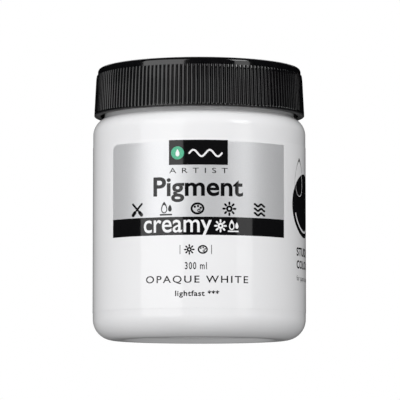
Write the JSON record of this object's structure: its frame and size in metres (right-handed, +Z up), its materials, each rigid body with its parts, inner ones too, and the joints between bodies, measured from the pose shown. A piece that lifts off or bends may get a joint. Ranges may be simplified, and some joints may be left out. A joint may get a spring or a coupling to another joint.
{
  "type": "screw-lid paint jar",
  "caption": "Round white paint jar with a ribbed black screw lid, foam liner, foil membrane with pull tab, wrap label and paint inside.",
  "frame": {"origin": "centre of the base, on the plane of the standing ring", "axes": "+Z up the jar's axis to the lid, -Y is the front of the label, +X is to the right seen from the front"},
  "size_m": [0.0752, 0.0753, 0.096],
  "materials": {
    "jar_plastic": "satin white polypropylene",
    "lid_plastic": "semi-gloss black moulded",
    "liner_foam": "fine closed-cell foam",
    "foil": "lacquered foil, slightly creased",
    "tab_film": "clear-blue polyester film",
    "label_film": "printed white film with a silver panel and black print",
    "white_paint": "wet heavy-body acrylic"
  },
  "bodies": {
    "jar": {"jar": "jar_plastic", "wrap_label": "label_film", "paint": "white_paint"},
    "liner": {"lid_liner": "liner_foam"},
    "lid": {"lid": "lid_plastic"},
    "seal": {"foil_seal": "foil", "seal_pull_tab": "tab_film"}
  },
  "joints": [
    {"name": "lid_turn", "type": "hinge", "parent": "liner", "child": "lid", "pos_m": [0, 0, 0.0875], "axis": [0, 0, 1], "range_deg": [0, 2880]},
    {"name": "lid_rise", "type": "slide", "parent": "jar", "child": "liner", "axis": [0, 0, 1], "range_m": [0, 0.03391]},
    {"name": "seal_lift", "type": "slide", "parent": "jar", "child": "seal", "axis": [0, 0, 1], "range_m": [0, 0.01021]}
  ],
  "couplings": [
    {"joint": "lid_rise", "follows": "lid_turn", "m_per_rad": 0.0006737},
    {"joint": "seal_lift", "follows": "lid_turn", "m_per_rad": 0.00020211}
  ]
}
